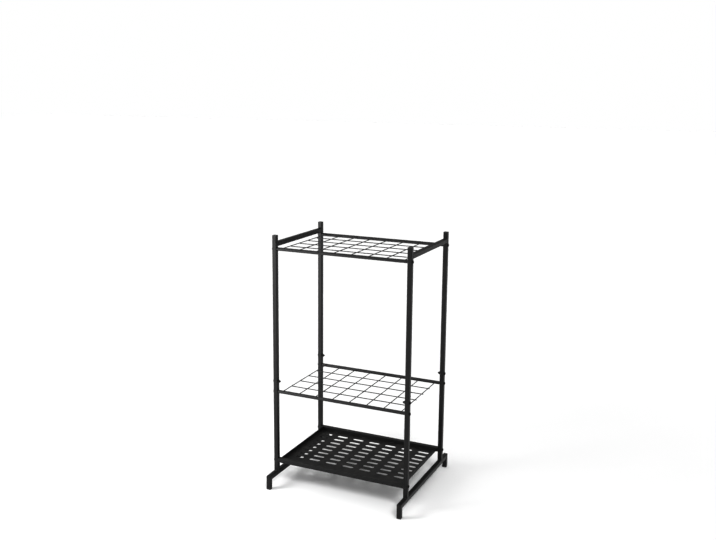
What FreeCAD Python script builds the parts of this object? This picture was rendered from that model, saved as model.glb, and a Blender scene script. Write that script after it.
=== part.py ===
# Freestanding garden tool rack, in millimetres.
# Four square posts stand on two foot bars. Two wire grids between the posts keep long handles apart,
# and a slotted tray carries their lower ends. +X is the rack's right, +Y its rear and +Z up. The
# origin is on the floor, under the middle of the rack.
import FreeCAD, Part
import math
import os

import Sketcher

doc = FreeCAD.newDocument("GardenToolRack")

# Driving dimensions
SIZES = (
    ("tube_side", 16, "outer side of the square tubes"),
    ("tube_wall", 1.2, "wall of the square tubes"),
    ("tube_corner", 1.8, "outer corner radius of the square tubes"),
    ("least_corner", 0.3, "smallest corner radius inside a tube"),
    ("post_spacing_x", 515, "left posts to right posts, between centres"),
    ("post_spacing_y", 351, "front posts to rear posts, between centres"),
    ("leg_height", 36, "underside of the foot bars above the floor"),
    ("foot_reach", 57.5, "foot bars past the posts, front and rear"),
    ("tray_rise", 33, "underside of the tray above the foot bars"),
    ("joint_height", 414, "top of the lower posts above the floor"),
    ("joint_gap", 0.4, "slit between the lower and upper posts"),
    ("joint_bolt_drop", 17, "joint bolts below the top of the lower posts"),
    ("mid_rail_drop", 39, "axis of the middle grid's rails below the joint bolts"),
    ("top_rail_height", 887, "axis of the top grid's rails above the floor"),
    ("top_bar_rise", 9, "underside of the top bars above that axis"),
    ("post_end", 22, "upper posts past the top bars"),
    ("sleeve_rise", 38, "sleeves above the top of the lower posts"),
    ("sleeve_drop", 25, "sleeves below the joint bolts"),
    ("sleeve_wall", 1.2, "wall of the sleeves"),
    ("rail_diameter", 12, "outer diameter of the grid rails"),
    ("rail_wall", 1.0, "wall of the grid rails"),
    ("wire_diameter", 3, "grid wire"),
    ("cross_wires", 8, "wires that run front to rear, in each grid"),
    ("cross_wire_margin", 17.1, "outermost of them to the posts"),
    ("long_wires", 4, "wires that run side to side, in each grid"),
    ("long_wire_margin", 75.9, "outermost of them to the rails' axes"),
    ("wire_overhang", 3, "side to side wires past the outermost crossing"),
    ("tray_side_gap", 6.5, "tray to the posts at its sides"),
    ("tray_sheet", 1.5, "thickness of the tray floor and edge strips"),
    ("tray_edge", 16, "height of the edge strips"),
    ("slot_length", 43, "tray slots, end to end"),
    ("slot_width", 14, "width of the tray slots"),
    ("slot_columns", 7, "slots in a row"),
    ("slot_rows", 8, "rows of slots"),
    ("slot_side_margin", 15.4, "outermost slots to the edge strips"),
    ("slot_front_margin", 55, "frontmost slots to the front rail"),
    ("slot_rear_margin", 27, "rearmost slots to the rear rail"),
    ("bolt_diameter", 6, "bolt shanks"),
    ("bolt_clearance", 0.2, "clearance round the bolts in the tube walls, each side"),
    ("head_diameter", 11, "bolt heads"),
    ("head_height", 4, "height of the bolt heads"),
    ("head_rim", 2, "height of the rim under the domed top"),
    ("socket_width", 4, "hexagon socket, across its flats"),
    ("socket_depth", 1.8, "depth of the hexagon sockets"),
    ("thread_reach", 14, "bolts into the inserts"),
    ("insert_length", 20, "threaded inserts in the rails"),
    ("nut_width", 10, "nuts, across their flats"),
    ("nut_height", 5, "height of the nuts"),
    ("bolt_end", 4.5, "joint bolts past their nuts"),
    ("fit_gap", 0.05, "clearance of what is pressed or screwed in, each side"),
    ("plug_head", 2.4, "thickness of the plug heads on the posts"),
    ("cap_head", 5, "thickness of the cap heads under the legs"),
    ("plug_depth", 12, "plugs and caps inside the tubes"),
    ("plug_round", 1.2, "rounding of the plug and cap heads"),
)

sheet = doc.addObject("Spreadsheet::Sheet", "Sizes")
for row, (alias, value, meaning) in enumerate(SIZES, start=1):
    sheet.set(f"A{row}", meaning)
    sheet.set(f"B{row}", str(value))
    sheet.setAlias(f"B{row}", alias)
doc.recompute()

# Sizes and places worked out from the driving dimensions, as expressions
HALF_TUBE = "Sizes.tube_side / 2"
TUBE_BORE = f"({HALF_TUBE} - Sizes.tube_wall)"
BORE_CORNER = "max(Sizes.tube_corner - Sizes.tube_wall; Sizes.least_corner)"
SHANK_HALF = f"({TUBE_BORE} - Sizes.fit_gap)"
HOLE_RADIUS = "(Sizes.bolt_diameter / 2 + Sizes.bolt_clearance)"
THREAD_RADIUS = "(Sizes.bolt_diameter / 2 + Sizes.fit_gap)"
RAIL_RADIUS = "Sizes.rail_diameter / 2"
RAIL_BORE = f"({RAIL_RADIUS} - Sizes.rail_wall)"
WIRE_RADIUS = "Sizes.wire_diameter / 2"
HEX_RATIO = "cos(30 deg)"
DOME_RISE = "(Sizes.head_height - Sizes.head_rim)"
DOME_RADIUS = f"((pow(Sizes.head_diameter / 2; 2) + pow({DOME_RISE}; 2)) / (2 * {DOME_RISE}))"

POST_X = "Sizes.post_spacing_x / 2"
POST_Y = "Sizes.post_spacing_y / 2"
INNER_X = "(Sizes.post_spacing_x - Sizes.tube_side) / 2"
OUTER_X = "(Sizes.post_spacing_x + Sizes.tube_side) / 2"
INNER_SPAN_X = "(Sizes.post_spacing_x - Sizes.tube_side)"
INNER_SPAN_Y = "(Sizes.post_spacing_y - Sizes.tube_side)"
LEG_Y = f"({POST_Y} + Sizes.foot_reach)"
FOOT_BAR_AXIS = f"(Sizes.leg_height + {HALF_TUBE})"
POST_FOOT = "(Sizes.leg_height + Sizes.tube_side)"
UPPER_FOOT = "(Sizes.joint_height + Sizes.joint_gap)"
JOINT_BOLT = "(Sizes.joint_height - Sizes.joint_bolt_drop)"
SLEEVE_FOOT = f"({JOINT_BOLT} - Sizes.sleeve_drop)"
MID_RAIL = f"({JOINT_BOLT} - Sizes.mid_rail_drop)"
TOP_BAR_AXIS = f"(Sizes.top_rail_height + Sizes.top_bar_rise + {HALF_TUBE})"
POST_TOP = f"({TOP_BAR_AXIS} + {HALF_TUBE} + Sizes.post_end)"
TRAY_FOOT = f"({POST_FOOT} + Sizes.tray_rise)"
TRAY_AXIS = f"({TRAY_FOOT} + {HALF_TUBE})"
TRAY_SPAN_X = f"({INNER_SPAN_X} - 2 * Sizes.tray_side_gap)"
FLOOR_SPAN_X = f"({TRAY_SPAN_X} - 2 * Sizes.tray_sheet)"
SLOT_SPAN_X = f"({FLOOR_SPAN_X} - 2 * Sizes.slot_side_margin - Sizes.slot_length)"
SLOT_SPAN_Y = f"({INNER_SPAN_Y} - Sizes.slot_front_margin - Sizes.slot_rear_margin - Sizes.slot_width)"
CROSS_WIRE_SPAN = f"({INNER_SPAN_X} - 2 * Sizes.cross_wire_margin)"
LONG_WIRE_SPAN = "(Sizes.post_spacing_y - 2 * Sizes.long_wire_margin)"
LONG_WIRE_END = f"({CROSS_WIRE_SPAN} / 2 + Sizes.wire_overhang)"
MITRE_BLOCK = "(3 * Sizes.tube_side)"
MITRE_OFFSET = f"{MITRE_BLOCK} * cos(45 deg) / 2"

SIDES = {"left": -1, "right": 1}
ENDS = {"front": -1, "rear": 1}
CORNERS = {f"{end}_{side}": (SIDES[side], ENDS[end]) for end in ENDS for side in SIDES}
GRIDS = {"top": "Sizes.top_rail_height", "mid": MID_RAIL}

TURN_TO_X = FreeCAD.Rotation(FreeCAD.Vector(0, 1, 0), 90)
TURN_TO_MINUS_X = FreeCAD.Rotation(FreeCAD.Vector(0, 1, 0), -90)
TURN_TO_Y = FreeCAD.Rotation(FreeCAD.Vector(1, 0, 0), -90)
MITRE_TURN = FreeCAD.Rotation(FreeCAD.Vector(1, 0, 0), 45)

nodes = []


# Helpers

def bind(item, **sizes):
    """Bind properties of an object to expressions."""
    for name, expression in sizes.items():
        item.setExpression(name, expression)


def place(item, x="0", y="0", z="0", turn=None):
    """Give an object its place, as expressions, and its turn."""
    if turn is not None:
        item.Placement = FreeCAD.Placement(FreeCAD.Vector(), turn)
    for axis, expression in zip("xyz", (x, y, z)):
        item.setExpression(f"Placement.Base.{axis}", expression)


def part(kind, label, **sizes):
    """Add an object of a Part kind, with its sizes bound."""
    item = doc.addObject(f"Part::{kind}", label)
    item.Label = label
    bind(item, **sizes)
    return item


def cut(label, base, tool):
    """Cut one object with another."""
    item = part("Cut", label)
    item.Base = base
    item.Tool = tool
    return item


def group(label, items):
    """Keep several separate solids together."""
    item = part("Compound", label)
    item.Links = items
    return item


def add_node(item):
    """List an object as one of the rack's pieces."""
    nodes.append(item)


def inward_start(side, length):
    """The lower X end of a piece of this length that goes inward from a post's inner face."""
    return f"{side} * {INNER_X} - {(side + 1) // 2} * {length}"


def new_body(label):
    """Add an empty body."""
    body = doc.addObject("PartDesign::Body", label)
    body.Label = label
    return body


def sketch_on(body, role, name):
    """Add a sketch on one of a body's own origin planes."""
    sketch = body.newObject("Sketcher::SketchObject", name)
    plane = next(item for item in body.Origin.OriginFeatures if item.Role == role)
    sketch.AttachmentSupport = (plane, [""])
    sketch.MapMode = "FlatFace"
    return sketch


def constrain(sketch, kind, *where, size=None):
    """Add a constraint, and bind its value to an expression."""
    if size is None:
        sketch.addConstraint(Sketcher.Constraint(kind, *where))
        return
    index = sketch.addConstraint(Sketcher.Constraint(kind, *where, float(sketch.evalExpression(size))))
    sketch.setExpression(f"Constraints[{index}]", size)


def values(sketch, *sizes):
    """Work expressions out as numbers, for a sketch's first drawing."""
    return [float(sketch.evalExpression(size)) for size in sizes]


def add_line(sketch, start, end):
    """Draw a line between two points of a sketch."""
    return sketch.addGeometry(Part.LineSegment(FreeCAD.Vector(*start), FreeCAD.Vector(*end)), False)


def add_arc(sketch, centre, radius, start, end):
    """Draw an arc of a sketch, from one angle to another in quarter turns."""
    circle = Part.Circle(FreeCAD.Vector(*centre), FreeCAD.Vector(0, 0, 1), radius)
    arc = Part.ArcOfCircle(circle, start * math.pi / 2, end * math.pi / 2)
    return sketch.addGeometry(arc, False)


def add_circle(sketch, centre, radius):
    """Draw a circle, and bind its radius to an expression."""
    circle = Part.Circle(FreeCAD.Vector(*centre), FreeCAD.Vector(0, 0, 1), *values(sketch, radius))
    index = sketch.addGeometry(circle, False)
    constrain(sketch, "Radius", index, size=radius)
    return index


def rectangle(sketch, size_x, size_y):
    """Draw a rectangle about the sketch's origin."""
    half_x, half_y = (size / 2 for size in values(sketch, size_x, size_y))
    corners = ((-half_x, -half_y), (half_x, -half_y), (half_x, half_y), (-half_x, half_y))
    sides = [add_line(sketch, corners[turn], corners[(turn + 1) % 4]) for turn in range(4)]
    for turn, line in enumerate(sides):
        constrain(sketch, "Coincident", line, 2, sides[(turn + 1) % 4], 1)
        constrain(sketch, "Vertical" if turn % 2 else "Horizontal", line)
    constrain(sketch, "Symmetric", sides[0], 1, sides[1], 2, -1, 1)
    constrain(sketch, "DistanceX", sides[0], 1, sides[0], 2, size=size_x)
    constrain(sketch, "DistanceY", sides[1], 1, sides[1], 2, size=size_y)


def rounded_square(sketch, half_side, radius):
    """Draw a square with round corners about the sketch's origin."""
    half, corner = values(sketch, half_side, radius)
    flat = half - corner
    lines = [add_line(sketch, (-flat, -half), (flat, -half)), add_line(sketch, (half, -flat), (half, flat)),
             add_line(sketch, (flat, half), (-flat, half)), add_line(sketch, (-half, flat), (-half, -flat))]
    centres = ((flat, -flat), (flat, flat), (-flat, flat), (-flat, -flat))
    arcs = [add_arc(sketch, centre, corner, turn - 1, turn) for turn, centre in enumerate(centres)]
    for turn in range(4):
        constrain(sketch, "Tangent", lines[turn], 2, arcs[turn], 1)
        constrain(sketch, "Tangent", arcs[turn], 2, lines[(turn + 1) % 4], 1)
        constrain(sketch, "Vertical" if turn % 2 else "Horizontal", lines[turn])
    for arc in arcs[1:]:
        constrain(sketch, "Equal", arcs[0], arc)
    constrain(sketch, "Radius", arcs[0], size=radius)
    constrain(sketch, "DistanceY", lines[0], 1, -1, 1, size=half_side)
    constrain(sketch, "DistanceX", -1, 1, lines[1], 1, size=half_side)
    constrain(sketch, "DistanceY", -1, 1, lines[2], 1, size=half_side)
    constrain(sketch, "DistanceX", lines[3], 1, -1, 1, size=half_side)


def round_ended_slot(sketch, length, width, left, front):
    """Draw a slot along X, its middle to the left of the sketch's origin and in front of it."""
    run = f"{length} - {width}"
    half_run, radius, x, y = values(sketch, f"({run}) / 2", f"{width} / 2", f"-({left})", f"-({front})")
    loop = [add_line(sketch, (x - half_run, y - radius), (x + half_run, y - radius)),
            add_arc(sketch, (x + half_run, y), radius, -1, 1),
            add_line(sketch, (x + half_run, y + radius), (x - half_run, y + radius)),
            add_arc(sketch, (x - half_run, y), radius, 1, 3)]
    for turn, piece in enumerate(loop):
        constrain(sketch, "Tangent", piece, 2, loop[(turn + 1) % 4], 1)
    constrain(sketch, "Horizontal", loop[0])
    constrain(sketch, "Equal", loop[1], loop[3])
    constrain(sketch, "Radius", loop[1], size=f"{width} / 2")
    constrain(sketch, "DistanceX", loop[3], 3, loop[1], 3, size=run)
    constrain(sketch, "DistanceX", loop[3], 3, -1, 1, size=f"{left} + ({run}) / 2")
    constrain(sketch, "DistanceY", loop[3], 3, -1, 1, size=front)


def pad(body, sketch, length, side="One side", reverse=False):
    """Raise a sketch into a solid."""
    feature = body.newObject("PartDesign::Pad", "Pad")
    feature.Profile = sketch
    feature.SideType = side
    feature.Reversed = reverse
    bind(feature, Length=length)
    return feature


def pocket(body, sketch, length):
    """Cut a sketch out of a solid, half its length to each side of the sketch."""
    feature = body.newObject("PartDesign::Pocket", "Pocket")
    feature.Profile = sketch
    feature.SideType = "Symmetric"
    bind(feature, Length=length)
    return feature


def drill(body, heights):
    """Drill an upright tube from side to side, along X, at heights above its lower end."""
    sketch = sketch_on(body, "YZ_Plane", "BoltHoles")
    for height in heights:
        hole = add_circle(sketch, (0, *values(sketch, height)), HOLE_RADIUS)
        constrain(sketch, "PointOnObject", hole, 3, -2)
        constrain(sketch, "DistanceY", -1, 1, hole, 3, size=height)
    pocket(body, sketch, "4 * Sizes.tube_side")


def square_tube(label, role, length, side="One side"):
    """A square tube with round corners, whose axis is square to a plane of its body."""
    body = new_body(label)
    sketch = sketch_on(body, role, "Section")
    rounded_square(sketch, HALF_TUBE, "Sizes.tube_corner")
    rounded_square(sketch, TUBE_BORE, BORE_CORNER)
    pad(body, sketch, length, side)
    return body


# Foot bars and their legs, mitred together

def mitre_block(label, side, end, outward):
    """A cube turned by 45 degrees, with a face on a foot's mitre: beyond it (1) or within it (-1)."""
    block = part("Box", label, Length=MITRE_BLOCK, Width=MITRE_BLOCK, Height=MITRE_BLOCK)
    place(block, x=f"{side} * {POST_X} - {MITRE_BLOCK} / 2",
          y=f"{end} * ({LEG_Y} + {outward} * {MITRE_OFFSET})",
          z=f"{FOOT_BAR_AXIS} - {2 + outward} * {MITRE_OFFSET}", turn=MITRE_TURN)
    return block


for side_name, side in SIDES.items():
    tube = square_tube(f"foot_bar_{side_name}_tube", "XZ_Plane", f"2 * {LEG_Y} + Sizes.tube_side",
                       "Symmetric")
    place(tube, x=f"{side} * {POST_X}", z=FOOT_BAR_AXIS)
    blocks = [mitre_block(f"foot_bar_{side_name}_{end_name}_mitre", side, end, outward=1)
              for end_name, end in ENDS.items()]
    add_node(cut(f"foot_bar_{side_name}", tube, group(f"foot_bar_{side_name}_mitres", blocks)))

for corner, (side, end) in CORNERS.items():
    tube = square_tube(f"foot_leg_{corner}_tube", "XY_Plane", f"{POST_FOOT} - Sizes.cap_head")
    place(tube, x=f"{side} * {POST_X}", y=f"{end} * {LEG_Y}", z="Sizes.cap_head")
    block = mitre_block(f"foot_leg_{corner}_mitre", side, end, outward=-1)
    add_node(cut(f"foot_leg_{corner}", tube, block))


# Posts, and the sleeves in their joints

def sleeve(label):
    """A square tube that slides into the posts."""
    body = new_body(label)
    section = sketch_on(body, "XY_Plane", "Section")
    rounded_square(section, SHANK_HALF, BORE_CORNER)
    rounded_square(section, f"{SHANK_HALF} - Sizes.sleeve_wall", "Sizes.least_corner")
    pad(body, section, f"Sizes.joint_height + Sizes.sleeve_rise - {SLEEVE_FOOT}")
    drill(body, [f"{JOINT_BOLT} - {SLEEVE_FOOT}"])
    return body


for corner, (side, end) in CORNERS.items():
    spot = {"x": f"{side} * {POST_X}", "y": f"{end} * {POST_Y}"}

    lower_post = square_tube(f"lower_post_{corner}", "XY_Plane", f"Sizes.joint_height - {POST_FOOT}")
    drill(lower_post, [f"{height} - {POST_FOOT}"
                       for height in (TRAY_AXIS, MID_RAIL, JOINT_BOLT)])
    place(lower_post, z=POST_FOOT, **spot)
    add_node(lower_post)

    upper_post = square_tube(f"upper_post_{corner}", "XY_Plane", f"{POST_TOP} - {UPPER_FOOT}")
    drill(upper_post, [f"Sizes.top_rail_height - {UPPER_FOOT}"])
    place(upper_post, z=UPPER_FOOT, **spot)
    add_node(upper_post)

    joint_sleeve = sleeve(f"post_sleeve_{corner}")
    place(joint_sleeve, z=SLEEVE_FOOT, **spot)
    add_node(joint_sleeve)


# Plugs in the posts and caps under the legs

def end_plug(label, head, upward):
    """A plastic plug, whose head closes a tube's end and whose shank goes into the tube."""
    body = new_body(label)
    head_sketch = sketch_on(body, "XY_Plane", "Head")
    rounded_square(head_sketch, HALF_TUBE, "Sizes.tube_corner")
    head_pad = pad(body, head_sketch, head, reverse=not upward)
    doc.recompute()
    heights = [face.CenterOfMass.z for face in head_pad.Shape.Faces]
    outer_face = heights.index(max(heights) if upward else min(heights)) + 1
    rounding = body.newObject("PartDesign::Fillet", "Rounding")
    rounding.Base = (head_pad, [f"Face{outer_face}"])
    bind(rounding, Radius=f"min(Sizes.plug_round; 0.9 * Sizes.tube_corner; 0.9 * {head})")
    shank_sketch = sketch_on(body, "XY_Plane", "Shank")
    rounded_square(shank_sketch, SHANK_HALF, BORE_CORNER)
    pad(body, shank_sketch, "Sizes.plug_depth", reverse=upward)
    return body


for corner, (side, end) in CORNERS.items():
    plug = end_plug(f"post_plug_{corner}", "Sizes.plug_head", upward=True)
    place(plug, x=f"{side} * {POST_X}", y=f"{end} * {POST_Y}", z=POST_TOP)
    add_node(plug)

    cap = end_plug(f"foot_cap_{corner}", "Sizes.cap_head", upward=False)
    place(cap, x=f"{side} * {POST_X}", y=f"{end} * {LEG_Y}", z="Sizes.cap_head")
    add_node(cap)

# Top bars, one across each side
for side_name, side in SIDES.items():
    top_bar = square_tube(f"top_bar_{side_name}", "XZ_Plane", INNER_SPAN_Y, "Symmetric")
    place(top_bar, x=f"{side} * {POST_X}", z=TOP_BAR_AXIS)
    add_node(top_bar)


# Wire grids: two round rails, and wires between them in two layers that touch

def round_bar(label, radius, length, x, y, z):
    """A round solid along X."""
    bar = part("Cylinder", label, Radius=radius, Height=length)
    place(bar, x=x, y=y, z=z, turn=TURN_TO_X)
    return bar


def rail_bar(label, radius, end, height):
    """A round solid where a grid's rail lies."""
    return round_bar(label, radius, INNER_SPAN_X, x=f"-{INNER_X}", y=f"{end} * {POST_Y}", z=height)


def row_place(index, count, span):
    """The place of one item of an even row about the middle."""
    return f"({index} / ({count} - 1) - 1 / 2) * {span}"


def cross_wires(grid, height):
    """The wires that run front to rear, ending against the rails."""
    wires = []
    for index in range(int(sheet.cross_wires)):
        wire = part("Cylinder", f"{grid}_cross_wire_{index + 1}", Radius=WIRE_RADIUS,
                    Height="Sizes.post_spacing_y")
        place(wire, x=row_place(index, "Sizes.cross_wires", CROSS_WIRE_SPAN), y=f"-{POST_Y}",
              z=f"{height} + {WIRE_RADIUS}", turn=TURN_TO_Y)
        wires.append(wire)
    rail_spaces = [rail_bar(f"{grid}_{end_name}_rail_space", RAIL_RADIUS, end, height)
                   for end_name, end in ENDS.items()]
    return cut(f"{grid}_cross_wires", group(f"{grid}_uncut_wires", wires),
               group(f"{grid}_rail_spaces", rail_spaces))


def long_wires(grid, height):
    """The wires that run side to side, under the others."""
    wires = [round_bar(f"{grid}_long_wire_{index + 1}", WIRE_RADIUS, f"2 * {LONG_WIRE_END}",
                       x=f"-{LONG_WIRE_END}", y=row_place(index, "Sizes.long_wires", LONG_WIRE_SPAN),
                       z=f"{height} - {WIRE_RADIUS}")
             for index in range(int(sheet.long_wires))]
    return group(f"{grid}_long_wires", wires)


for grid, height in GRIDS.items():
    for end_name, end in ENDS.items():
        rail = f"{grid}_rail_{end_name}"
        outside = rail_bar(f"{rail}_outside", RAIL_RADIUS, end, height)
        inside = rail_bar(f"{rail}_inside", RAIL_BORE, end, height)
        add_node(cut(rail, outside, inside))
    add_node(cross_wires(grid, height))
    add_node(long_wires(grid, height))

# Tray: two rails, an edge strip at each side and a slotted floor between them
for end_name, end in ENDS.items():
    tray_rail = square_tube(f"tray_rail_{end_name}", "YZ_Plane", INNER_SPAN_X, "Symmetric")
    place(tray_rail, y=f"{end} * {POST_Y}", z=TRAY_AXIS)
    add_node(tray_rail)

for side_name, side in SIDES.items():
    strip = part("Box", f"tray_edge_{side_name}", Length="Sizes.tray_sheet", Width=INNER_SPAN_Y,
                 Height="Sizes.tray_edge")
    place(strip, x=f"{side} * ({TRAY_SPAN_X} - Sizes.tray_sheet) / 2 - Sizes.tray_sheet / 2",
          y=f"-{INNER_SPAN_Y} / 2", z=TRAY_FOOT)
    add_node(strip)

tray_floor = new_body("tray_floor")
outline = sketch_on(tray_floor, "XY_Plane", "Outline")
rectangle(outline, FLOOR_SPAN_X, INNER_SPAN_Y)
pad(tray_floor, outline, "Sizes.tray_sheet")
slot = sketch_on(tray_floor, "XY_Plane", "Slot")
round_ended_slot(slot, "Sizes.slot_length", "Sizes.slot_width",
                 left=f"{SLOT_SPAN_X} / 2",
                 front=f"({INNER_SPAN_Y} - Sizes.slot_width) / 2 - Sizes.slot_front_margin")
first_slot = pocket(tray_floor, slot, "4 * Sizes.tray_sheet")
slots = tray_floor.newObject("PartDesign::LinearPattern", "Slots")
slots.Originals = [first_slot]
slots.Direction = (slot, ["H_Axis"])
slots.Direction2 = (slot, ["V_Axis"])
bind(slots, Length=SLOT_SPAN_X, Occurrences="Sizes.slot_columns",
     Length2=SLOT_SPAN_Y, Occurrences2="Sizes.slot_rows")
tray_floor.Tip = slots
place(tray_floor, z=TRAY_FOOT)
add_node(tray_floor)

# Threaded inserts in the rails' ends
for grid, height in GRIDS.items():
    inserts = []
    for corner, (side, end) in CORNERS.items():
        spot = {"x": inward_start(side, "Sizes.insert_length"), "y": f"{end} * {POST_Y}", "z": height}
        slug = round_bar(f"{grid}_insert_{corner}_slug", f"{RAIL_BORE} - Sizes.fit_gap",
                         "Sizes.insert_length", **spot)
        thread = round_bar(f"{grid}_insert_{corner}_thread", THREAD_RADIUS, "Sizes.insert_length", **spot)
        inserts.append(cut(f"{grid}_insert_{corner}", slug, thread))
    add_node(group(f"{grid}_rail_inserts", inserts))

tray_inserts = []
for corner, (side, end) in CORNERS.items():
    insert = new_body(f"tray_insert_{corner}")
    section = sketch_on(insert, "YZ_Plane", "Section")
    rounded_square(section, SHANK_HALF, BORE_CORNER)
    thread = add_circle(section, (0, 0), THREAD_RADIUS)
    constrain(section, "Coincident", thread, 3, -1, 1)
    pad(insert, section, "Sizes.insert_length")
    place(insert, x=inward_start(side, "Sizes.insert_length"), y=f"{end} * {POST_Y}", z=TRAY_AXIS)
    tray_inserts.append(insert)
add_node(group("tray_rail_inserts", tray_inserts))


# Bolts through the posts, and the joint bolts' nuts

def bolt(label, side, end, height, length):
    """A bolt along X, with a domed, socketed head on the post's outer face."""
    turn = TURN_TO_X if side > 0 else TURN_TO_MINUS_X

    def at(item, distance):
        place(item, x=f"{side} * ({OUTER_X} + {distance})", y=f"{end} * {POST_Y}", z=height, turn=turn)
        return item

    head = part("Common", f"{label}_head")
    head.Base = at(part("Cylinder", f"{label}_rim", Radius="Sizes.head_diameter / 2",
                        Height="Sizes.head_height"), "0")
    head.Tool = at(part("Sphere", f"{label}_dome", Radius=DOME_RADIUS),
                   f"Sizes.head_height - {DOME_RADIUS}")
    socket = at(part("Prism", f"{label}_socket", Circumradius=f"Sizes.socket_width / 2 / {HEX_RATIO}",
                     Height="2 * Sizes.socket_depth"), "Sizes.head_height - Sizes.socket_depth")
    whole = part("Fuse", label)
    whole.Base = cut(f"{label}_socketed_head", head, socket)
    whole.Tool = at(part("Cylinder", f"{label}_shank", Radius="Sizes.bolt_diameter / 2", Height=length),
                    f"-({length})")
    return whole


INTO_INSERT = "Sizes.tube_side + Sizes.thread_reach"
THROUGH_NUT = "Sizes.tube_side + Sizes.nut_height + Sizes.bolt_end"
BOLT_ROWS = {
    "top_grid_bolts": ("Sizes.top_rail_height", INTO_INSERT),
    "joint_bolts": (JOINT_BOLT, THROUGH_NUT),
    "mid_grid_bolts": (MID_RAIL, INTO_INSERT),
    "tray_bolts": (TRAY_AXIS, INTO_INSERT),
}
for row, (height, length) in BOLT_ROWS.items():
    add_node(group(row, [bolt(f"{row}_{corner}", side, end, height, length)
                         for corner, (side, end) in CORNERS.items()]))

nuts = []
for corner, (side, end) in CORNERS.items():
    spot = {"x": inward_start(side, "Sizes.nut_height"), "y": f"{end} * {POST_Y}", "z": JOINT_BOLT}
    blank = part("Prism", f"joint_nut_{corner}_blank", Circumradius=f"Sizes.nut_width / 2 / {HEX_RATIO}",
                 Height="Sizes.nut_height")
    place(blank, turn=TURN_TO_X, **spot)
    thread = round_bar(f"joint_nut_{corner}_thread", THREAD_RADIUS, "Sizes.nut_height", **spot)
    nuts.append(cut(f"joint_nut_{corner}", blank, thread))
add_node(group("joint_nuts", nuts))

# Check, then write
doc.recompute()
for item in doc.Objects:
    if {"Invalid", "Error"} & set(item.State):
        raise RuntimeError(f"{item.Label} failed: {item.State}")
for item in nodes:
    if item.Shape.isNull() or not item.Shape.isValid() or not item.Shape.Solids:
        raise RuntimeError(f"{item.Label} has no valid solid")

area = float(outline.evalExpression(f"{FLOOR_SPAN_X} * {INNER_SPAN_Y}"))
one_slot = (sheet.slot_length - sheet.slot_width) * sheet.slot_width + math.pi * (sheet.slot_width / 2) ** 2
left_over = (area - sheet.slot_columns * sheet.slot_rows * one_slot) * sheet.tray_sheet
print(f"tray floor: {tray_floor.Shape.Volume:.1f} mm3, {left_over:.1f} mm3 by its slots' count")

os.makedirs("parts", exist_ok=True)
for item in nodes:
    item.Shape.exportStep(f"parts/{item.Label}.step")
    print(f"{item.Label}: {len(item.Shape.Solids)} solid(s), {item.Shape.Volume:.0f} mm3")
print(f"{len(nodes)} nodes")
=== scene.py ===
# %% [markdown]
# # A freestanding garden tool rack
#
# The rack is welded from 16 mm square steel tube and coated in satin black powder. It has a wire grid
# near its top, another at mid height and a slotted tray low down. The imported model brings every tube,
# rail, wire and bolt at its real size. These cells add what makes such steel look real: the weld beads,
# the folded tray, the cut threads and hexagons, the finishes, and the light that shows them.

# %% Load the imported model
import math
import random

import bmesh
import bpy
from mathutils import Matrix, Vector


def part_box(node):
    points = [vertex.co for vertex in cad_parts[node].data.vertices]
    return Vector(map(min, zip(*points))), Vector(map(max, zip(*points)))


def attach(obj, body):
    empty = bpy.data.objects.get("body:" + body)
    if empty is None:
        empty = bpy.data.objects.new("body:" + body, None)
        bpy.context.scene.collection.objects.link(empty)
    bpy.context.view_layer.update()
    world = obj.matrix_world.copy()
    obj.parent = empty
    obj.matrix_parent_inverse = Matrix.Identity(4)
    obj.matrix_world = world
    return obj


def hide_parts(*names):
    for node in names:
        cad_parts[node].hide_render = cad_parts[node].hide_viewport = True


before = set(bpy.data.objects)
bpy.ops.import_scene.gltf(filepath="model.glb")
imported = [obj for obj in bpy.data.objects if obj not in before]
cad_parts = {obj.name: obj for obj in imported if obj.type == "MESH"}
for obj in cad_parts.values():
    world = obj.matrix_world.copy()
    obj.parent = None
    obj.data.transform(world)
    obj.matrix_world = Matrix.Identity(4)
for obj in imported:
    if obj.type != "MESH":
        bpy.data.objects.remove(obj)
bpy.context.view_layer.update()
print("nodes:", len(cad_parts))

MM = 0.001
SIDES = {"left": -1, "right": 1}
ENDS = {"front": -1, "rear": 1}

# %% [markdown]
# ## Shader maths as Python
#
# A procedural finish is arithmetic on noise and on the surface's own direction. Blender does that
# arithmetic with Math nodes, and wiring them by hand hides the formula. The small class below wraps a
# node's output, so that `0.4 + 0.1 * cloud` adds the Math nodes by itself. Every other kind of node
# comes from its `node` method.

# %% A socket that takes part in sums
class Socket:
    """One output of a shader node."""

    def __init__(self, tree, output):
        self.tree = tree
        self.output = output

    def node(self, kind, settings, inputs, output=0):
        """Add a node: first its settings, then the values or links of its inputs."""
        made = self.tree.nodes.new(kind)
        for name, value in settings.items():
            setattr(made, name, value)
        for name, value in inputs.items():
            if isinstance(value, Socket):
                self.tree.links.new(value.output, made.inputs[name])
            else:
                made.inputs[name].default_value = value
        return Socket(self.tree, made.outputs[output])

    def math(self, operation, first, second):
        """Add a Math node."""
        return self.node("ShaderNodeMath", {"operation": operation}, {0: first, 1: second})

    def __add__(self, other):
        return self.math("ADD", self, other)

    def __radd__(self, other):
        return self.math("ADD", other, self)

    def __sub__(self, other):
        return self.math("SUBTRACT", self, other)

    def __rsub__(self, other):
        return self.math("SUBTRACT", other, self)

    def __mul__(self, other):
        return self.math("MULTIPLY", self, other)

    def __rmul__(self, other):
        return self.math("MULTIPLY", other, self)


# %% Noise, masks and colour mixes, each one call
def noise(place, wavelength, detail=2.0):
    """Cloudy noise whose patches are about one wavelength across, in metres."""
    inputs = {"Vector": place, "Scale": 1 / wavelength, "Detail": detail}
    return place.node("ShaderNodeTexNoise", {}, inputs)


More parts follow.
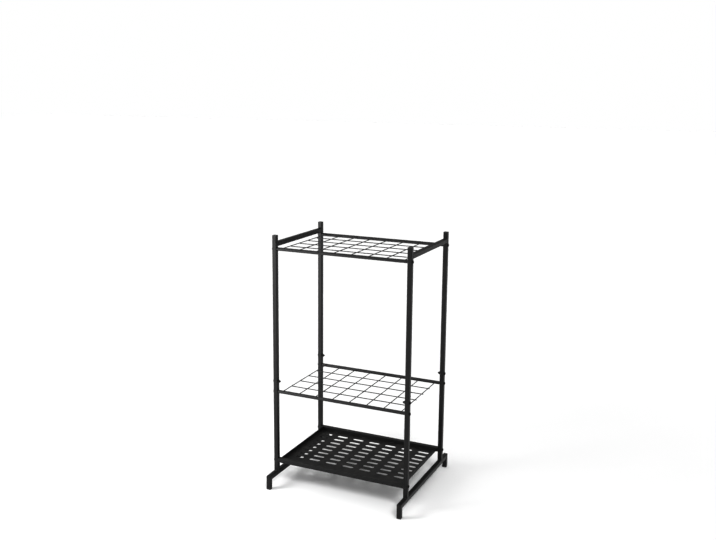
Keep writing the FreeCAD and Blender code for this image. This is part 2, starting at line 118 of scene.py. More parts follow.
def ramp(value, low, high):
    """0 below low, 1 above high, and smooth between."""
    return value.node("ShaderNodeMapRange", {"interpolation_type": "SMOOTHSTEP"},
                      {"Value": value, "From Min": low, "From Max": high})


def mix_colours(mask, first, second):
    """The first colour where the mask is 0, the second where it is 1."""
    colour_inputs, colour_output = (6, 7), 2
    return mask.node("ShaderNodeMix", {"data_type": "RGBA"},
                     {0: mask, colour_inputs[0]: first, colour_inputs[1]: second}, colour_output)


def grey(level, warmth=0.0):
    """A grey, or a slightly brown one, as a colour."""
    return (level * (1 + warmth), level, level * (1 - warmth), 1.0)


# %% The surface's direction, and a finish to start from
DUST_SLOPE = 0.55, 0.95


def upward(place):
    """1 on faces that look up, 0 on upright ones and those that look down."""
    normal = place.node("ShaderNodeNewGeometry", {}, {}, "Normal")
    height = normal.node("ShaderNodeSeparateXYZ", {}, {"Vector": normal}, "Z")
    return ramp(height, *DUST_SLOPE)


def bump(height, depth):
    """A normal from a height between 0 and 1, with its depth in metres."""
    return height.node("ShaderNodeBump", {}, {"Height": height, "Strength": 1.0, "Distance": depth})


def new_finish(name):
    """A material with a Principled shader. Returns it, its shader and the place on the object."""
    material = bpy.data.materials.new(name)
    material.use_nodes = True
    tree = material.node_tree
    shader = tree.nodes["Principled BSDF"]
    place = Socket(tree, tree.nodes.new("ShaderNodeTexCoord").outputs["Object"])
    print("finish:", name)
    return material, shader, place


def connect(shader, inputs):
    """Set or link a Principled shader's inputs."""
    for name, value in inputs.items():
        if isinstance(value, Socket):
            value.tree.links.new(value.output, shader.inputs[name])
        else:
            shader.inputs[name].default_value = value


# %% [markdown]
# ## Satin black powder coat
#
# Powder is sprayed on dry and melted in an oven. It leaves a satin skin with a faint orange peel, a
# little thicker and duller in some places than in others, and it takes dust on whatever looks up. One
# recipe makes all the coated steel, and the frame, the grids and the tray differ only in its values.

# %% The powder coat
CLOUD_PATCH, STREAK_PATCH = 60 * MM, 9 * MM
PEEL_PATCH, GRAIN_PATCH = 2.2 * MM, 0.5 * MM
DUST_PATCH, DUST_COLOUR = 25 * MM, grey(0.22, 0.08)


def powder_coat(name, level, gloss, roughness, peel_depth, dust):
    """Satin black powder coat, with peel, uneven gloss and dust."""
    material, shader, place = new_finish(name)
    cloud = noise(place, CLOUD_PATCH, 3.0)
    streak = noise(place, STREAK_PATCH, 2.0)
    peel = noise(place, PEEL_PATCH, 1.0)
    grain = noise(place, GRAIN_PATCH, 1.0)
    settled = upward(place) * ramp(noise(place, DUST_PATCH, 5.0), 0.35, 0.75)
    coat = mix_colours(ramp(cloud, 0.3, 0.7), grey(level * 0.85), grey(level * 1.2))
    connect(shader, {
        "Base Color": mix_colours(settled * dust, coat, DUST_COLOUR),
        "Specular IOR Level": gloss,
        "Roughness": roughness + 0.10 * (cloud - 0.5) + 0.06 * (streak - 0.5) + 0.5 * dust * settled,
        "Normal": bump(0.75 * peel + 0.25 * grain, peel_depth),
    })
    return material


FRAME_COAT = powder_coat("satin_black_frame_coat", level=0.010, gloss=0.36, roughness=0.43,
                         peel_depth=0.10 * MM, dust=0.04)
GRID_COAT = powder_coat("satin_black_grid_coat", level=0.016, gloss=0.45, roughness=0.42,
                        peel_depth=0.05 * MM, dust=0.05)
TRAY_COAT = powder_coat("satin_black_tray_coat", level=0.014, gloss=0.32, roughness=0.50,
                        peel_depth=0.10 * MM, dust=0.07)

# %% [markdown]
# ## Bolts, plugs and bare steel
#
# The bolts and nuts are blackened steel, which is a metal with a dark, slightly worn oxide. The plugs
# and foot caps are moulded plastic: no metal, duller than the coat, with the fine even texture of a
# spark-eroded mould. The inserts and sleeves are hidden in the tubes, and have plain steel finishes.

# %% Blackened steel
RUB_PATCH, OXIDE_PATCH = 1.6 * MM, 0.4 * MM


def blackened_steel(name):
    """Black oxide on steel, rubbed brighter in small spots."""
    material, shader, place = new_finish(name)
    rub = ramp(noise(place, RUB_PATCH, 4.0), 0.56, 0.74)
    connect(shader, {
        "Base Color": mix_colours(rub, grey(0.030), grey(0.11, 0.04)),
        "Metallic": 0.85,
        "Roughness": 0.36 + 0.16 * (1 - rub),
        "Normal": bump(noise(place, OXIDE_PATCH), 0.02 * MM),
    })
    return material


BLACK_STEEL = blackened_steel("blackened_steel")

# %% Moulded plastic
FLOW_PATCH, SCUFF_PATCH, MOULD_PATCH = 7 * MM, 1.1 * MM, 0.35 * MM


def moulded_plastic(name):
    """Black polyethylene, matt from its mould."""
    material, shader, place = new_finish(name)
    flow = noise(place, FLOW_PATCH, 3.0)
    scuff = upward(place) * ramp(noise(place, SCUFF_PATCH, 5.0), 0.35, 0.75)
    connect(shader, {
        "Base Color": mix_colours(0.25 * flow + 0.6 * scuff, grey(0.012), grey(0.11, 0.03)),
        "Specular IOR Level": 0.5,
        "Roughness": 0.50 + 0.12 * (flow - 0.5) + 0.1 * scuff,
        "Normal": bump(noise(place, MOULD_PATCH), 0.03 * MM),
    })
    return material


PLASTIC = moulded_plastic("moulded_black_plastic")

# %% Zinc and bare tube
MILL_PATCH = 0.6 * MM


def plain_steel(name, level, roughness, patch):
    """Steel that no coat covers, with crystals or mill marks of one patch size."""
    material, shader, place = new_finish(name)
    crystal = place.node("ShaderNodeTexVoronoi", {}, {"Vector": place, "Scale": 1 / patch}, "Distance")
    connect(shader, {
        "Base Color": mix_colours(crystal, grey(level), grey(level * 1.3)),
        "Metallic": 1.0,
        "Roughness": roughness + 0.15 * crystal,
        "Normal": bump(noise(place, MILL_PATCH), 0.01 * MM),
    })
    return material


ZINC = plain_steel("zinc_plate", level=0.50, roughness=0.30, patch=3 * MM)
BARE_TUBE = plain_steel("bare_steel_tube", level=0.36, roughness=0.38, patch=1 * MM)

# %% [markdown]
# ## Give every carried-over tube, rail and wire its finish
#
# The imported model's names say what each piece is, so a short table from words in a name to a finish
# is enough. The first row whose word is in the name wins.

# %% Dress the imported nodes
FINISHES = (
    ("plug", PLASTIC), ("cap", PLASTIC), ("sleeve", BARE_TUBE), ("inserts", ZINC),
    ("bolts", BLACK_STEEL), ("nuts", BLACK_STEEL), ("tray", TRAY_COAT), ("wires", GRID_COAT),
    ("rail", GRID_COAT), ("", FRAME_COAT),
)
for name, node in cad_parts.items():
    finish = next(finish for word, finish in FINISHES if word in name)
    node.material_slots[0].material = finish
    print(name, "in", finish.name)

# %% [markdown]
# ## Meshes from rings
#
# A weld bead, a nut and a bolt head are all a section that changes along a line. So one helper joins
# rings of points, ring by ring, into a skin, and each of these shapes is then only a rule for where
# its rings are. The rings of many small shapes go into one mesh where they are one kind of thing.
# Rings may run either way round, so at the end the faces of each closed shell are turned outward.

# %% Join rings into a skin
def skin(shells, name, material, sharp_angle):
    """One piece from several shells. A shell is a list of rings with as many points each."""
    vertices, faces = [], []
    for rings in shells:
        first, count = len(vertices), len(rings[0])
        vertices.extend(point for ring in rings for point in ring)
        for row in range(len(rings) - 1):
            low, high = first + row * count, first + (row + 1) * count
            faces.extend((low + i, low + (i + 1) % count, high + (i + 1) % count, high + i)
                         for i in range(count))
        faces.append(tuple(range(first + count - 1, first - 1, -1)))
        last = first + (len(rings) - 1) * count
        faces.append(tuple(range(last, last + count)))
    return piece(name, vertices, faces, material, sharp_angle)


def face_outward(mesh):
    """Turn the faces of every closed shell outward, whichever way its rings ran."""
    shells = bmesh.new()
    shells.from_mesh(mesh)
    bmesh.ops.recalc_face_normals(shells, faces=shells.faces)
    shells.to_mesh(mesh)
    shells.free()


def piece(name, vertices, faces, material, sharp_angle):
    """A mesh that rides on the rack, smooth but for edges sharper than an angle in degrees."""
    mesh = bpy.data.meshes.new(name)
    mesh.from_pydata([tuple(v) for v in vertices], [], faces)
    face_outward(mesh)
    mesh.materials.append(material)
    mesh.shade_smooth()
    mesh.set_sharp_from_angle(angle=math.radians(sharp_angle))
    made = bpy.data.objects.new(name, mesh)
    bpy.context.scene.collection.objects.link(made)
    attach(made, "root")
    print(name, len(mesh.vertices), "vertices")
    return made


# %% [markdown]
# ## Weld beads
#
# The tubes of each side frame are joined by short beads of weld. A bead isn't smooth: the pool freezes
# in ripples about as far apart as the bead is deep. Here a bead's section is pushed in and out along
# its line by a skewed wave, which gives the stacked look, and a slow random drift keeps the wave from
# looking printed. The section is a fillet in a corner, or a low crown over a flush seam.

# %% The bead
FILLET = ((-0.3, -0.3), (1.0, -0.15), (0.98, 0.12), (0.76, 0.42), (0.42, 0.76), (0.12, 0.98),
          (-0.15, 1.0))
CROWN = ((-1.0, -0.25), (1.0, -0.25), (0.9, 0.06), (0.5, 0.27), (0.0, 0.34), (-0.5, 0.27),
         (-0.9, 0.06))
RIPPLE = 1.7 * MM
RINGS_PER_RIPPLE, FEWEST_RINGS = 5, 8
RIPPLE_SKEW = 0.6
RIPPLE_SWELL, DRIFT_SWELL = 0.10, 0.05
START_SHARE = 0.35
weld_luck = random.Random(11)


def bead(start, end, across, out, size, section):
    """The rings of a weld bead between two points, its section in two directions."""
    start, end, across, out = (Vector(v) for v in (start, end, across, out))
    length = (end - start).length
    count = max(FEWEST_RINGS, round(length / (RIPPLE / RINGS_PER_RIPPLE)))
    phase = weld_luck.random()
    drift = 6 * weld_luck.uniform(2, 4)
    rings = []
    for step in range(count + 1):
        along = step / count
        wave = (along * length / RIPPLE + phase) % 1.0
        ripple = math.sin(math.pi * wave ** RIPPLE_SKEW) - 0.5
        swell = 1 + RIPPLE_SWELL * ripple + DRIFT_SWELL * math.sin(drift * along + phase)
        taper = min(1.0, START_SHARE + min(along, 1 - along) * length / size)
        radius = size * swell * taper
        centre = start.lerp(end, along)
        rings.append([centre + across * (a * radius) + out * (b * radius) for a, b in section])
    return rings


# %% [markdown]
# The side frames are welded where the top bars meet the posts, where the posts stand on the foot bars,
# and at the mitred corners of the feet. Where two tubes are flush, the seam gets a low crown.

# %% Welds of the top bars
FILLET_SIZE = 2.6 * MM
CROWN_SIZE = 2.0 * MM
END_GAP = 1.4 * MM


def top_bar_welds(side, end):
    """Beads round one end of a top bar."""
    low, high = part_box(f"top_bar_{side}")
    seam, inward = (low.y, 1) if end < 0 else (high.y, -1)
    left, right = low.x + END_GAP, high.x - END_GAP
    rings = [bead((left, seam, z), (right, seam, z), (0, inward, 0), (0, 0, up), FILLET_SIZE, FILLET)
             for z, up in ((high.z, 1), (low.z, -1))]
    rings += [bead((x, seam, low.z + END_GAP), (x, seam, high.z - END_GAP), (0, 1, 0), (out, 0, 0),
                   CROWN_SIZE, CROWN) for x, out in ((low.x, -1), (high.x, 1))]
    return rings


# %% Welds of the posts' feet
def post_foot_welds(post):
    """Beads round the foot of a lower post."""
    low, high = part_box(post)
    left, right = low.x + END_GAP, high.x - END_GAP
    rings = [bead((left, y, low.z), (right, y, low.z), (0, out, 0), (0, 0, 1), FILLET_SIZE, FILLET)
             for y, out in ((low.y, -1), (high.y, 1))]
    rings += [bead((x, low.y + END_GAP, low.z), (x, high.y - END_GAP, low.z), (0, 0, 1), (out, 0, 0),
                   CROWN_SIZE, CROWN) for x, out in ((low.x, -1), (high.x, 1))]
    return rings


# %% Welds of the mitres
OUTER_GAP = 2.5 * END_GAP


def mitre_welds(leg, end):
    """Beads along the mitre between a leg and its foot bar."""
    low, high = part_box(leg)
    inner, outer = (high.y, low.y) if end < 0 else (low.y, high.y)
    under = high.z - (high.x - low.x)
    slant = Vector((0, end, 1)).normalized()
    across = Vector((0, -end, 1)).normalized()
    rings = [bead((low.x + END_GAP, inner, under), (high.x - END_GAP, inner, under), (0, -end, 0),
                  (0, 0, -1), FILLET_SIZE, FILLET)]
    for x, out in ((low.x, -1), (high.x, 1)):
        start = Vector((x, inner, under)) + slant * END_GAP
        finish = Vector((x, outer, high.z)) - slant * OUTER_GAP
        rings.append(bead(start, finish, across, (out, 0, 0), CROWN_SIZE, CROWN))
    return rings


# %% Weld both side frames
for side in SIDES:
    shells = [ring for end in ENDS.values() for ring in top_bar_welds(side, end)]
    skin(shells, f"top_bar_welds_{side}", FRAME_COAT, sharp_angle=80)
    shells = []
    for end_name, end in ENDS.items():
        shells += post_foot_welds(f"lower_post_{end_name}_{side}")
        shells += mitre_welds(f"foot_leg_{end_name}_{side}", end)
    skin(shells, f"foot_welds_{side}", FRAME_COAT, sharp_angle=80)

# %% [markdown]
# ## Resistance welds of the grids
#
# Crossed wires are welded by a current that melts them together where they touch. Each crossing keeps
# a small squeezed collar of steel, and each wire's end sits in one on the rail. A lumpy ellipsoid, cut
# from rings, has the right form once the coat has softened it.

# %% One collar
LEAN = 0.9, 1.12
nub_luck = random.Random(23)


def nub(centre, radii, around=10, rows=5):
    """The rings of one collar of squeezed weld."""
    lean = [nub_luck.uniform(*LEAN) for _ in range(around)]
    rings = []
    for row in range(1, rows + 1):
        polar = math.pi * row / (rows + 1)
        rings.append([Vector(centre) + Vector((
            radii[0] * lean[i] * math.sin(polar) * math.cos(2 * math.pi * i / around),
            radii[1] * lean[i] * math.sin(polar) * math.sin(2 * math.pi * i / around),
            radii[2] * math.cos(polar))) for i in range(around)])
    return rings


# %% Collars at the crossings and rails
CROSS_WIRES, LONG_WIRES = 8, 4
CROSSING_COLLAR = Vector((0.62, 0.62, 0.5))
RAIL_COLLAR = Vector((0.72, 0.5, 0.72))


def spread(low, high, count, wire):
    """The middles of a row of wires, from the outer sides of its first and last."""
    return [low + wire / 2 + i * (high - low - wire) / (count - 1) for i in range(count)]


for grid in ("top", "mid"):
    cross_low, cross_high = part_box(f"{grid}_cross_wires")
    long_low, long_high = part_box(f"{grid}_long_wires")
    wire = cross_high.z - cross_low.z
    level = cross_low.z
    xs = spread(cross_low.x, cross_high.x, CROSS_WIRES, wire)
    ys = spread(long_low.y, long_high.y, LONG_WIRES, wire)
    collars = [nub((x, y, level), CROSSING_COLLAR * wire) for x in xs for y in ys]
    collars += [nub((x, y, level + wire / 2), RAIL_COLLAR * wire)
                for x in xs for y in (cross_low.y, cross_high.y)]
    skin(collars, f"{grid}_grid_welds", GRID_COAT, sharp_angle=80)


# %% [markdown]
# ## The tray
#
# The tray is one sheet of 1.5 mm steel, punched with round-ended slots and folded up at both sides.
# Punching and coating leave each slot's rim rounded, and each fold has a radius: both catch the light,
# which a flat plate with sharp holes doesn't. The sheet is built as cells. Every cell is a set of rings
# that go from the cell's rectangle down through its slot to the underside, and the plain margins
# between cells and edges are filled with quads that share the rings' points.

# %% The sheet's measures
SLOT_COLUMNS, SLOT_ROWS = 7, 8
SLOT_LENGTH, SLOT_WIDTH = 43 * MM, 14 * MM
SLOT_SIDE_MARGIN, SLOT_FRONT_MARGIN, SLOT_REAR_MARGIN = 15.4 * MM, 55 * MM, 27 * MM
RIM = 0.5 * MM
RIM_ANGLES = [math.radians(angle) for angle in (0, 22.5, 45, 67.5, 90)]
FOLD = 1.8 * MM
ARC_STEPS = 8

floor_low, floor_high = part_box("tray_floor")
FRONT, REAR = floor_low.y, floor_high.y
BOTTOM, TOP = floor_low.z, floor_high.z
THICKNESS = TOP - BOTTOM
edge_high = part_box("tray_edge_right")[1]
first_x = floor_low.x + SLOT_SIDE_MARGIN + SLOT_LENGTH / 2
first_y = FRONT + SLOT_FRONT_MARGIN + SLOT_WIDTH / 2
pitch_x = (-2 * first_x) / (SLOT_COLUMNS - 1)
pitch_y = (REAR - SLOT_REAR_MARGIN - SLOT_WIDTH / 2 - first_y) / (SLOT_ROWS - 1)
print("slot pitch", round(pitch_x, 5), round(pitch_y, 5))


# %% The rings of a cell, and the outlines of a folded side
def slot_ring(grow, z):
    """A slot's outline about its middle, grown by a distance."""
    radius, run = SLOT_WIDTH / 2 + grow, (SLOT_LENGTH - SLOT_WIDTH) / 2
    ring = []
    for turn, centre in ((0, run), (1, -run)):
        for step in range(2 * ARC_STEPS + 1):
            angle = math.pi * (turn - 0.5 + step / (2 * ARC_STEPS))
            ring.append(Vector((centre + radius * math.cos(angle), radius * math.sin(angle), z)))
    return ring


def cell_ring(z):
    """The cell's rectangle about its slot's middle, with a point for each point of the slot."""
    half_x, half_y = pitch_x / 2, pitch_y / 2
    ring = []
    for point in slot_ring(0, z):
        outward = max(abs(point.x) - (SLOT_LENGTH - SLOT_WIDTH) / 2, 0) / (SLOT_WIDTH / 2)
        share = math.atan2(abs(point.y), outward * SLOT_WIDTH / 2) / (math.pi / 4)
        x = half_x if share <= 1 else half_x + (abs(point.x) - half_x) * (share - 1)
        y = half_y * share if share <= 1 else half_y
        ring.append(Vector((math.copysign(x, point.x), math.copysign(y, point.y), z)))
    return ring


def cell_rings():
    """A cell's rings, from its rectangle on top through the slot to the one below."""
    rim = [(RIM * (1 - math.sin(angle)), RIM * (1 - math.cos(angle))) for angle in RIM_ANGLES]
    levels = [(2 * RIM, TOP)] + [(grow, TOP - drop) for grow, drop in rim]
    levels += [(grow, BOTTOM + drop) for grow, drop in reversed(rim)] + [(2 * RIM, BOTTOM)]
    return [cell_ring(TOP)] + [slot_ring(grow, z) for grow, z in levels] + [cell_ring(BOTTOM)]


def fold_profiles(side, start_x):
    """The inner and outer outlines of a folded side, from the last cell to the rounded top."""
    inner, outer = [(side * start_x, TOP)], [(side * start_x, BOTTOM)]
    fold_x = edge_high.x - FOLD - THICKNESS
    for step in range(ARC_STEPS + 1):
        angle = math.pi / 2 * step / ARC_STEPS
        for outline, radius in ((inner, FOLD), (outer, FOLD + THICKNESS)):
            outline.append((side * (fold_x + radius * math.sin(angle)),
                            TOP + FOLD - radius * math.cos(angle)))
    crown = THICKNESS / 2
    middle = fold_x + FOLD + crown
    for step in range(ARC_STEPS // 2 + 1):
        angle = math.pi / 2 * step / (ARC_STEPS // 2)
        lift = edge_high.z - crown + crown * math.sin(angle)
        inner.append((side * (middle - crown * math.cos(angle)), lift))
        outer.append((side * (middle + crown * math.cos(angle)), lift))
    return inner, outer


# %% [markdown]
# Faces that meet have to share their points, or the sheet would fall apart into loose quads. So the
# mesh keeps a table of the points that it has, and gives a known point its old number.

# %% A mesh that shares its points
SAME_POINT = 0.001 * MM


class SharedMesh:
    """Vertices and faces, where faces that meet use the same vertices."""

    def __init__(self):
        self.vertices = []
        self.faces = []
        self.known = {}

    def index(self, point):
        """The number of a point, which is added at its first use."""
        key = tuple(round(value / SAME_POINT) for value in point)
        if key not in self.known:
            self.known[key] = len(self.vertices)
            self.vertices.append(Vector(point))
        return self.known[key]

    def face(self, points, turned=False):
        """Add a face, turned over if asked. Points at one place count once."""
        if turned:
            points = reversed(points)
        corners = list(dict.fromkeys(self.index(point) for point in points))
        if len(corners) > 2:
            self.faces.append(tuple(corners))


# %% The parts of the sheet
def add_cells(mesh, rings):
    """Every cell with its slot."""
    for row in range(SLOT_ROWS):
        for column in range(SLOT_COLUMNS):
            middle = Vector((first_x + column * pitch_x, first_y + row * pitch_y, 0))
            placed = [[middle + point for point in ring] for ring in rings]
            for upper, lower in zip(placed, placed[1:]):
                for i in range(len(upper)):
                    j = (i + 1) % len(upper)
                    mesh.face([upper[i], upper[j], lower[j], lower[i]])


def add_margins(mesh, xs, ys):
    """The plain strips before and behind the cells, on both faces of the sheet."""
    for z, turned in ((TOP, False), (BOTTOM, True)):
        for y0, y1 in ((FRONT, ys[0]), (ys[-1], REAR)):
            for x0, x1 in zip(xs, xs[1:]):
                mesh.face([(x0, y0, z), (x1, y0, z), (x1, y1, z), (x0, y1, z)], turned)


def add_folded_sides(mesh, xs, ys):
    """Both folded sides, with their ends at the front and the rear."""
    rows = [FRONT] + ys + [REAR]
    for side in SIDES.values():
        inner, outer = fold_profiles(side, xs[-1])
        loop = inner + list(reversed(outer))
        for y0, y1 in zip(rows, rows[1:]):
            for (xa, za), (xb, zb) in zip(loop, loop[1:]):
                mesh.face([(xa, y0, za), (xb, y0, zb), (xb, y1, zb), (xa, y1, za)], side < 0)
        for y, turned in ((FRONT, False), (REAR, True)):
            for a, b, c, d in zip(inner, outer, outer[1:], inner[1:]):
                mesh.face([(x, y, z) for x, z in (a, b, c, d)], turned == (side > 0))


def add_edges(mesh, xs):
    """The sheet's front and rear edges."""
    for y, turned in ((FRONT, False), (REAR, True)):
        for x0, x1 in zip(xs, xs[1:]):
            mesh.face([(x0, y, BOTTOM), (x1, y, BOTTOM), (x1, y, TOP), (x0, y, TOP)], turned)


# %% Make the tray
rings = cell_rings()
xs = sorted({round(first_x + column * pitch_x + point.x, 7)
             for column in range(SLOT_COLUMNS) for point in rings[0]})
ys = sorted({round(first_y + row * pitch_y + point.y, 7)
             for row in range(SLOT_ROWS) for point in rings[0]})
tray_mesh = SharedMesh()
add_cells(tray_mesh, rings)
add_margins(tray_mesh, xs, ys)
add_folded_sides(tray_mesh, xs, ys)
add_edges(tray_mesh, xs)
tray = piece("slotted_tray", tray_mesh.vertices, tray_mesh.faces, TRAY_COAT,
             sharp_angle=35)
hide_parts("tray_floor", "tray_edge_left", "tray_edge_right")

# %% [markdown]
# Short stitches of weld hold the sheet to its rails, from above along the inner faces and up the
# folded corners.

# %% Welds of the tray
STITCH, STITCHES, STITCH_SIZE = 16 * MM, 4, 1.8 * MM
CORNER_START, CORNER_END, CORNER_SIZE = 3 * MM, 2 * MM, 2.0 * MM

stitch_pitch = (floor_high.x - floor_low.x) / STITCHES
shells = []
for end in ENDS.values():
    seam = FRONT if end < 0 else REAR
    for index in range(STITCHES):
        middle = (index - (STITCHES - 1) / 2) * stitch_pitch
        shells.append(bead((middle - STITCH / 2, seam, TOP), (middle + STITCH / 2, seam, TOP),
                           (0, -end, 0), (0, 0, 1), STITCH_SIZE, FILLET))
    for side in SIDES.values():
        shells.append(bead((side * edge_high.x, seam, TOP + CORNER_START),
                           (side * edge_high.x, seam, edge_high.z - CORNER_END),
                           (0, -end, 0), (side, 0, 0), CORNER_SIZE, FILLET))
skin(shells, "tray_welds", TRAY_COAT, sharp_angle=80)

# %% [markdown]
# ## Bolts and nuts
#
# The bolts have low domed heads with a hexagon socket, and the joint bolts end in a nut inside the
# rack. Both are turned shapes with a six-sided part. A ring of points at one radius is round, and a
# ring whose radius follows the hexagon is six-sided, so the same ring helper goes from the dome to the
# socket. A thread is a ring whose radius dips once per turn, moved on a little at each ring.

# %% Turned rings and hexagons
AROUND = 48


def hexagon(half_width, angle):
    """The distance from a hexagon's middle to its side, at an angle."""
    return half_width / math.cos((angle + math.pi / 6) % (math.pi / 3) - math.pi / 6)


def turned(stations, place, direction):
    """Rings along X from (distance, radius rule) stations; direction is +1 or -1."""
    rings = []
    for distance, rule in stations:
        ring = []
        for i in range(AROUND):
            angle = direction * 2 * math.pi * i / AROUND
            radius = rule(angle) if callable(rule) else rule
            ring.append(Vector(place) + Vector((direction * distance, radius * math.cos(angle),
                                                radius * math.sin(angle))))
        rings.append(ring)
    return rings


# %% The bolt
SHANK = 3.0 * MM
PITCH, THREAD_DEPTH = 1.0 * MM, 0.44 * MM
THREAD_LENGTH, THREAD_RINGS = 8.0 * MM, 64
LEAD_LENGTH, LEAD_SHARE = 0.8 * MM, 0.55
HEAD, HEAD_HEIGHT, HEAD_RIM = 5.5 * MM, 4.0 * MM, 2.0 * MM
UNDER_EDGE, UNDER_RISE = 0.25 * MM, 0.2 * MM
DOME_STEPS = 8
SOCKET, SOCKET_DEPTH = 2.0 * MM, 1.8 * MM
MOUTH = 1.22 * SOCKET
MOUTH_STEPS = ((0.12 * MM, 0.55), (0.3 * MM, 0.15), (0.42 * MM, 0.0))
DRILL_DEPTH, DRILL_END = 0.4 * MM, 0.2 * MM


def thread_stations(length):
    """The threaded end, whose first turn is thinner so that it starts easily."""
    stations = []
    for step in range(THREAD_RINGS):
        along = -length + THREAD_LENGTH * step / THREAD_RINGS
        lead = min(1.0, LEAD_SHARE + (along + length) / LEAD_LENGTH)

        def thread(angle, along=along, lead=lead):
            phase = (along / PITCH + angle / (2 * math.pi)) % 1.0
            return lead * (SHANK - THREAD_DEPTH * (1 - abs(2 * phase - 1)))
        stations.append((along, thread))
    return stations


def head_stations():
    """The domed head, from its underside over the dome and down into its socket."""
    rise = HEAD_HEIGHT - HEAD_RIM
    dome = (HEAD ** 2 + rise ** 2) / (2 * rise)
    stations = [(0, HEAD - UNDER_EDGE), (UNDER_RISE, HEAD)]
    for step in range(DOME_STEPS + 1):
        radius = HEAD + (MOUTH - HEAD) * step / DOME_STEPS
        stations.append((HEAD_HEIGHT - dome + math.sqrt(dome ** 2 - radius ** 2), radius))
    rim = stations[-1][0]
    for drop, share in MOUTH_STEPS:
        stations.append((rim - drop, lambda angle, share=share: MOUTH * share
                         + hexagon(SOCKET, angle) * (1 - share)))
    floor = HEAD_HEIGHT - SOCKET_DEPTH
    stations.append((floor, lambda angle: hexagon(SOCKET, angle)))
    stations.append((floor - DRILL_DEPTH, DRILL_END))
    return stations


def bolt_rings(place, direction, length):
    """A bolt whose head stands on the place and looks along the direction."""
    shank = [(-length + THREAD_LENGTH, SHANK), (0, SHANK)]
    return turned(thread_stations(length) + shank + head_stations(), place, direction)


# %% The nut
NUT, NUT_HEIGHT, NUT_FACE = 5.0 * MM, 5.0 * MM, 4.75 * MM
CHAMFER_SLOPE = 1 / math.tan(math.radians(30))
CHAMFER_LEVELS = [level * MM for level in (0, 0.08, 0.16, 0.26, 0.4, 0.62)]
BORE, COUNTERSINK, COUNTERSINK_DEPTH = 3.02 * MM, 3.45 * MM, 0.5 * MM


def nut_rings(place, direction):
    """A chamfered hexagon nut, its face on the place, with a countersunk bore."""
    levels = CHAMFER_LEVELS + [NUT_HEIGHT - level for level in reversed(CHAMFER_LEVELS)]
    stations = [(COUNTERSINK_DEPTH, BORE), (0, COUNTERSINK)]
    for level in levels:
        cone = NUT_FACE + CHAMFER_SLOPE * min(level, NUT_HEIGHT - level)
        stations.append((level, lambda angle, cone=cone: min(cone, hexagon(NUT, angle))))
    stations += [(NUT_HEIGHT, COUNTERSINK), (NUT_HEIGHT - COUNTERSINK_DEPTH, BORE)]
    return turned(stations, place, direction)


# %% [markdown]
# Each row of four bolts replaces one packed row, at that row's height, with its heads on the outer
# faces of the posts.

# %% Place the bolts and nuts
BOLT_LENGTH, JOINT_BOLT_LENGTH = 30 * MM, 25.5 * MM

corners = [(side, end) for side in SIDES.values() for end in ENDS.values()]
face_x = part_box("lower_post_front_right")[1].x
for row in ("top_grid_bolts", "joint_bolts", "mid_grid_bolts", "tray_bolts"):
    low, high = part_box(row)
    y, z = high.y - HEAD, (low.z + high.z) / 2
    length = JOINT_BOLT_LENGTH if row == "joint_bolts" else BOLT_LENGTH
    shells = [bolt_rings((side * face_x, end * y, z), side, length) for side, end in corners]
    bolts = skin(shells, f"domed_{row}", BLACK_STEEL, sharp_angle=30)
    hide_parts(row)

low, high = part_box("joint_nuts")
x, y, z = high.x - NUT_HEIGHT, high.y - NUT, (low.z + high.z) / 2
shells = [nut_rings((side * x, end * y, z), side) for side, end in corners]
nuts = skin(shells, "chamfered_joint_nuts", BLACK_STEEL, sharp_angle=25)
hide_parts("joint_nuts")

# %% [markdown]
# ## The floor
#
# The rack stands on pale, matt paper that runs on behind it. The paper's colour carries painted shade
# and painted light: it is painted a little darker under the rack and lighter further off, where a
# studio would light it harder, so the shadow's soft end shows and the horizon doesn't.

# %% The floor
# Painted shade and painted light: the paper's grey is darker near the rack and lighter far off, though
# the paper itself is even.
PAINTED_SHADE_PAPER, PAINTED_LIGHT_PAPER = grey(0.84), grey(0.955)
PAINTED_SHADE_FADE = 0.8, 3.0
MOTTLE_PATCH = 0.8
FLOOR_SIZE = 60.0


def floor_finish():
    """Pale, matt paper with the faintest mottle, painted darker near the rack and lighter further off.
    """
    material, shader, place = new_finish("pale_paper_painted_shade")
    mottle = noise(place, MOTTLE_PATCH)
    distance = place.node("ShaderNodeVectorMath", {"operation": "LENGTH"}, {0: place}, "Value")
    # Painted light: the paper's colour grows lighter with distance from the rack, so that near it the
    # paper carries painted shade.
    painted_light_share = ramp(distance + 0.3 * (mottle - 0.5), *PAINTED_SHADE_FADE)
    connect(shader, {"Base Color": mix_colours(painted_light_share, PAINTED_SHADE_PAPER, PAINTED_LIGHT_PAPER), "Roughness": 0.85,
                     "Specular IOR Level": 0.2})
    return material


half = FLOOR_SIZE / 2
floor_mesh = bpy.data.meshes.new("floor")
floor_mesh.from_pydata([(-half, -half, 0), (half, -half, 0), (half, half, 0), (-half, half, 0)], [],
                       [(0, 1, 2, 3)])
floor_mesh.materials.append(floor_finish())
floor = bpy.data.objects.new("floor", floor_mesh)
bpy.context.scene.collection.objects.link(floor)

# %% [markdown]
# ## The lights
#
# The photograph's shadow lies under the tray, a little behind it and to its left, with a soft edge. So
# the main light is a softbox high in front, to the right. A wide sun stands in for it, because it
# lights the whole floor evenly. A white scrim overhead fills in, and a low box at the left brings out
# the faces that look forward. The walls stay dim for everything but the camera, so that black tubes
# stay black on a white backdrop.

# %% The walls and the scrim
WALLS, SCRIM, BACKDROP = 0.2, 0.92, 1.0
SCRIM_EDGE = 0.15, 0.8

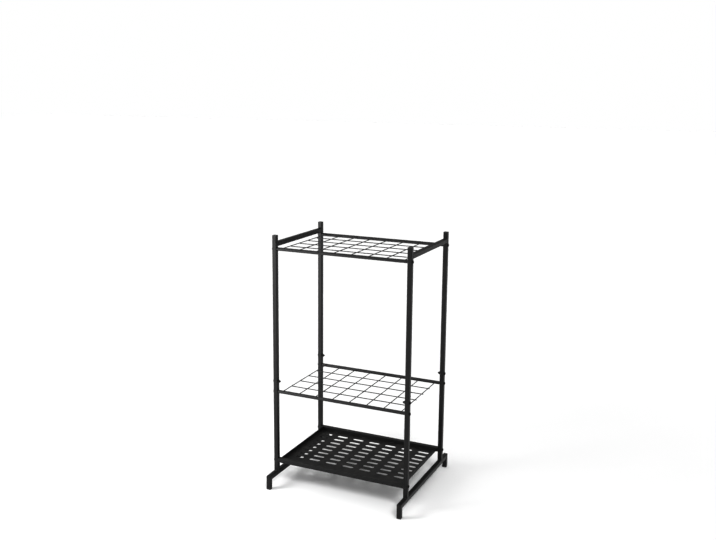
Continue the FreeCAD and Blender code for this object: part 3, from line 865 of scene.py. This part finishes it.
world = bpy.data.worlds.new("studio")
bpy.context.scene.world = world
world.use_nodes = True
tree = world.node_tree
ray = Socket(tree, tree.nodes.new("ShaderNodeLightPath").outputs["Is Camera Ray"])
direction = ray.node("ShaderNodeTexCoord", {}, {}, "Generated")
height = direction.node("ShaderNodeSeparateXYZ", {}, {"Vector": direction}, "Z")
surround = WALLS + (SCRIM - WALLS) * ramp(height, *SCRIM_EDGE)
strength = surround + (BACKDROP - surround) * ray
background = tree.nodes["Background"]
background.inputs["Color"].default_value = (1, 1, 1, 1)
tree.links.new(strength.output, background.inputs["Strength"])


# %% The lamps
def light(name, kind, place, target, settings):
    """A lamp that looks from one place at another."""
    lamp = bpy.data.lights.new(name, kind)
    for key, value in settings.items():
        setattr(lamp, key, value)
    made = bpy.data.objects.new(name, lamp)
    made.location = place
    made.rotation_mode = "QUATERNION"
    made.rotation_quaternion = (Vector(target) - Vector(place)).to_track_quat("-Z", "Y")
    bpy.context.scene.collection.objects.link(made)
    print("lamp:", name)


light("high_front_box", "SUN", (0.68, -0.68, 1.0), (0, 0, 0),
      {"energy": 1.55, "angle": math.radians(17)})
light("low_left_box", "AREA", (-1.5, -1.3, 0.9), (0, 0, 0.5),
      {"energy": 44, "shape": "RECTANGLE", "size": 0.8, "size_y": 1.4})

# %% [markdown]
# ## The camera
#
# The camera stands where a perspective fit to the photograph's straight edges puts it. The fit has its
# optical centre above the picture's middle. The shift gives a part of that, as much as leaves the whole
# rack in the picture from other sides too. A photograph also has more contrast than a plain conversion
# of light to screen values, and the view's gamma below 1 gives that curve.

# %% The camera
PHOTO_WIDTH, PHOTO_HEIGHT = 716, 540
FOCAL_PIXELS = 881.99
CENTRE_ROW = 250.0
CAMERA_PLACE = Vector((1.3021, -2.8419, 1.4582))
AZIMUTH, ELEVATION, ROLL = (math.radians(angle) for angle in (24.868, 10.56, 0.477))
VIEW_GAMMA = 0.7

camera = bpy.data.cameras.new("camera")
camera.sensor_width = 36.0
camera.lens = camera.sensor_width * FOCAL_PIXELS / PHOTO_WIDTH
camera.shift_y = (CENTRE_ROW - PHOTO_HEIGHT / 2) / PHOTO_WIDTH
print("lens in mm", round(camera.lens, 2), "shift", round(camera.shift_y, 4))
camera_object = bpy.data.objects.new("camera", camera)
back = Vector((math.sin(AZIMUTH) * math.cos(ELEVATION), -math.cos(AZIMUTH) * math.cos(ELEVATION),
               math.sin(ELEVATION)))
level_right = (-back).cross(Vector((0, 0, 1))).normalized()
level_up = level_right.cross(-back)
right = math.cos(ROLL) * level_right + math.sin(ROLL) * level_up
up = math.cos(ROLL) * level_up - math.sin(ROLL) * level_right
turn = Matrix((right, up, back)).transposed().to_4x4()
camera_object.matrix_world = Matrix.Translation(CAMERA_PLACE) @ turn
bpy.context.scene.collection.objects.link(camera_object)
bpy.context.scene.camera = camera_object
bpy.context.scene.view_settings.view_transform = "Standard"
bpy.context.scene.view_settings.gamma = VIEW_GAMMA
